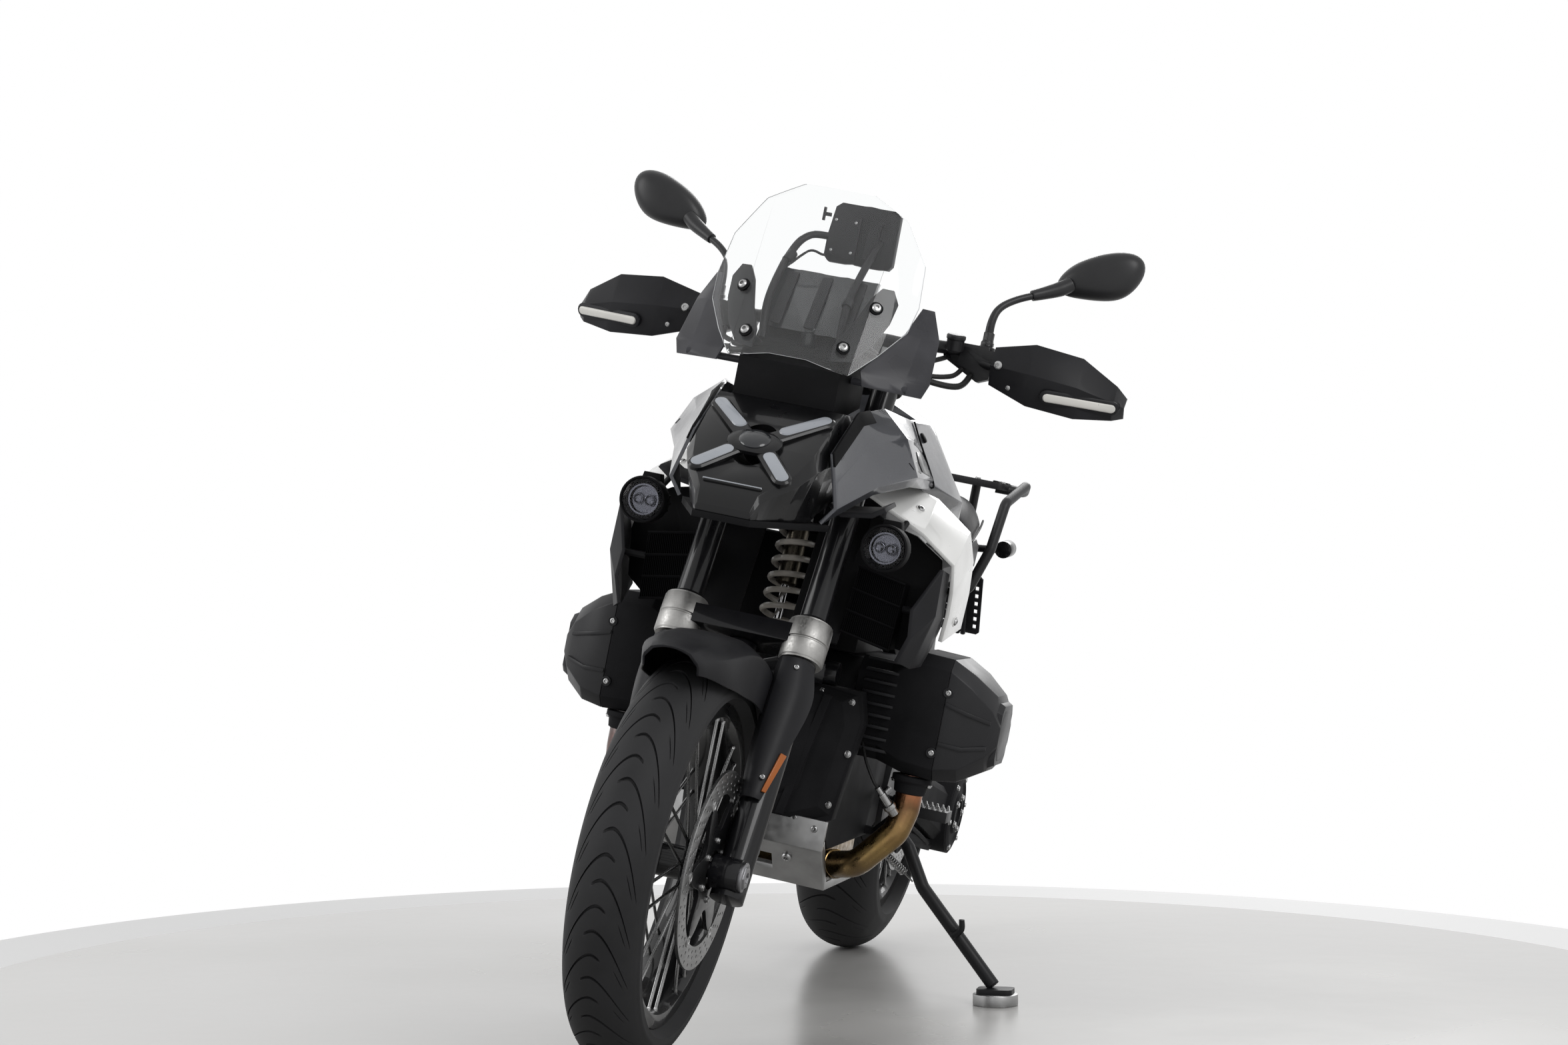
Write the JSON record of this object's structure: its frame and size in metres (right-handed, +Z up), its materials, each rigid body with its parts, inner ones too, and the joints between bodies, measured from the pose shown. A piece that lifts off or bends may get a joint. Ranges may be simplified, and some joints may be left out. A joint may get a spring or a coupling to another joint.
{
  "type": "adventure motorcycle",
  "caption": "Adventure motorcycle with a flat-twin engine, tall windshield, spoked wheels and luggage rack, leaning on its side stand.",
  "frame": {"origin": "centre of the parked motorcycle's bounding box on the ground", "axes": "+X towards the rider's left, +Y rearwards along the wheelbase, +Z up; the motorcycle leans 11.5 degrees towards +X"},
  "size_m": [1.0072, 2.2118, 1.4787],
  "materials": {
    "frame_black": "satin",
    "engine_dark": "satin",
    "cover_black": "satin",
    "bare_aluminium": "satin",
    "header_steel": "heat tinted",
    "silencer_steel": "satin",
    "spring_grey": "satin",
    "fork_black": "satin",
    "radiator_black": "matt",
    "black_plastic": "matt",
    "white_panel": "satin",
    "grey_panel": "gloss",
    "gloss_black": "gloss",
    "clear_lens": "clear",
    "clear_screen": "clear",
    "smoked_screen": "tinted",
    "display_glass": "gloss",
    "seat_cover": "grained",
    "rack_black": "satin",
    "lamp_red": "gloss",
    "collar_silver": "satin",
    "axle_steel": "machined",
    "caliper_black": "gloss",
    "bar_black": "satin",
    "mirror_black": "satin",
    "tyre_rubber": "matt",
    "rim_black": "gloss",
    "disc_steel": "ground"
  },
  "bodies": {
    "chassis": {"main_frame": "frame_black", "rear_frame": "frame_black", "engine_block": "engine_dark", "cylinders": "engine_dark", "cylinder_covers": "cover_black", "skid_plate": "bare_aluminium", "exhaust_header": "header_steel", "silencer": "silencer_steel", "swingarm": "engine_dark", "rear_shock": "spring_grey", "front_arm": "fork_black", "front_shock": "spring_grey", "radiators": "radiator_black", "radiator_shrouds": "black_plastic", "air_ducts": "black_plastic", "airbox": "black_plastic", "side_panels": "white_panel", "fuel_tank": "grey_panel", "nose_panels": "grey_panel", "headlight_housing": "gloss_black", "headlight_lens": "clear_lens", "dash_panel": "black_plastic", "windshield": "clear_screen", "wind_deflectors": "smoked_screen", "instrument_display": "display_glass", "nav_cradle": "black_plastic", "fog_lamps": "clear_lens", "rider_seat": "seat_cover", "pillion_seat": "seat_cover", "luggage_rack": "rack_black", "plate_carrier": "black_plastic", "rear_lamps": "lamp_red", "rear_hugger": "black_plastic", "foot_controls": "rack_black", "passenger_pegs": "rack_black"},
    "front_end": {"fork_legs": "collar_silver", "fork_tubes": "fork_black", "front_axle": "axle_steel", "front_calipers": "caliper_black", "front_fender": "black_plastic", "handlebar": "bar_black", "hand_guards": "black_plastic", "mirrors": "mirror_black"},
    "front_wheel": {"front_tyre": "tyre_rubber", "front_rim": "rim_black", "front_discs": "disc_steel"},
    "rear_wheel": {"rear_tyre": "tyre_rubber", "rear_rim": "rim_black", "rear_disc": "disc_steel"},
    "side_stand": {"side_stand": "frame_black", "stand_puck": "bare_aluminium"}
  },
  "joints": [
    {"name": "steering", "type": "hinge", "parent": "chassis", "child": "front_end", "pos_m": [-0.01996, -0.38104, 1.02126], "axis": [0.1789, 0.4412, 0.8794], "range_deg": [-38, 38]},
    {"name": "front_wheel_spin", "type": "hinge", "parent": "front_end", "child": "front_wheel", "pos_m": [-0.16267, -0.78095, 0.31968], "axis": [0.9799, 0.0001, -0.1994], "continuous": true},
    {"name": "rear_wheel_spin", "type": "hinge", "parent": "chassis", "child": "rear_wheel", "pos_m": [-0.16407, 0.73705, 0.31332], "axis": [0.9799, 0.0001, -0.1994], "continuous": true},
    {"name": "side_stand_swing", "type": "hinge", "parent": "chassis", "child": "side_stand", "pos_m": [0.0236, 0.04805, 0.30757], "axis": [0.7896, -0.0004, 0.6136], "range_deg": [0, 92]}
  ]
}
